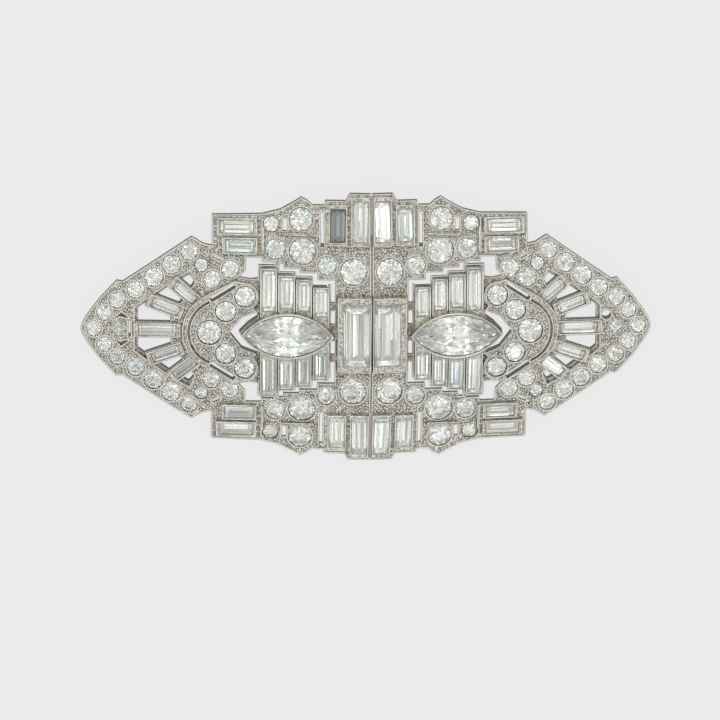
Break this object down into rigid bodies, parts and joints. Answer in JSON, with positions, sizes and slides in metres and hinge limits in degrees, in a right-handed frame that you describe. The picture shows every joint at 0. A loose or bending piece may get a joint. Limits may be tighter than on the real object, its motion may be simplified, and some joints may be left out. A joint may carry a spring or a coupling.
{
  "type": "double clip brooch",
  "caption": "Geometric double clip brooch: two mirrored pierced white-metal clips set with marquise, baguette and round stones, over one plain pin.",
  "frame": {"origin": "on the surface under the brooch, under the middle of its length and height", "axes": "+X along the length towards the right clip's tip, +Y towards the upper edge as worn, +Z out of the front"},
  "size_m": [0.0622, 0.0298, 0.0072],
  "materials": {
    "platinum": "polished white metal with fine beaded edges",
    "diamond": "clear, facet cut and polished",
    "pin_metal": "plain satin white metal"
  },
  "bodies": {
    "root": {"left_mount": "platinum", "right_mount": "platinum", "back_pin": "pin_metal", "left_marquise": "diamond", "left_centre_baguette": "diamond", "left_tip_square": "diamond", "left_rim_rounds": "diamond", "left_shoulder_rounds": "diamond", "left_arc_rounds": "diamond", "left_cluster_rounds": "diamond", "left_fan_baguette_axis": "diamond", "right_marquise": "diamond", "right_centre_baguette": "diamond", "right_tip_square": "diamond", "right_rim_rounds": "diamond", "right_shoulder_rounds": "diamond", "right_arc_rounds": "diamond", "right_cluster_rounds": "diamond", "right_fan_baguette_axis": "diamond", "left_upper_long_baguette": "diamond", "left_upper_short_baguette": "diamond", "left_upper_outer_side_baguette": "diamond", "left_upper_inner_side_baguette": "diamond", "left_upper_fan_baguette_1": "diamond", "left_upper_fan_baguette_2": "diamond", "left_upper_step_baguettes": "diamond", "left_lower_long_baguette": "diamond", "left_lower_short_baguette": "diamond", "left_lower_outer_side_baguette": "diamond", "left_lower_inner_side_baguette": "diamond", "left_lower_fan_baguette_1": "diamond", "left_lower_fan_baguette_2": "diamond", "left_lower_step_baguettes": "diamond", "right_upper_long_baguette": "diamond", "right_upper_short_baguette": "diamond", "right_upper_outer_side_baguette": "diamond", "right_upper_inner_side_baguette": "diamond", "right_upper_fan_baguette_1": "diamond", "right_upper_fan_baguette_2": "diamond", "right_upper_step_baguettes": "diamond", "right_lower_long_baguette": "diamond", "right_lower_short_baguette": "diamond", "right_lower_outer_side_baguette": "diamond", "right_lower_inner_side_baguette": "diamond", "right_lower_fan_baguette_1": "diamond", "right_lower_fan_baguette_2": "diamond", "right_lower_step_baguettes": "diamond"}
  },
  "joints": []
}
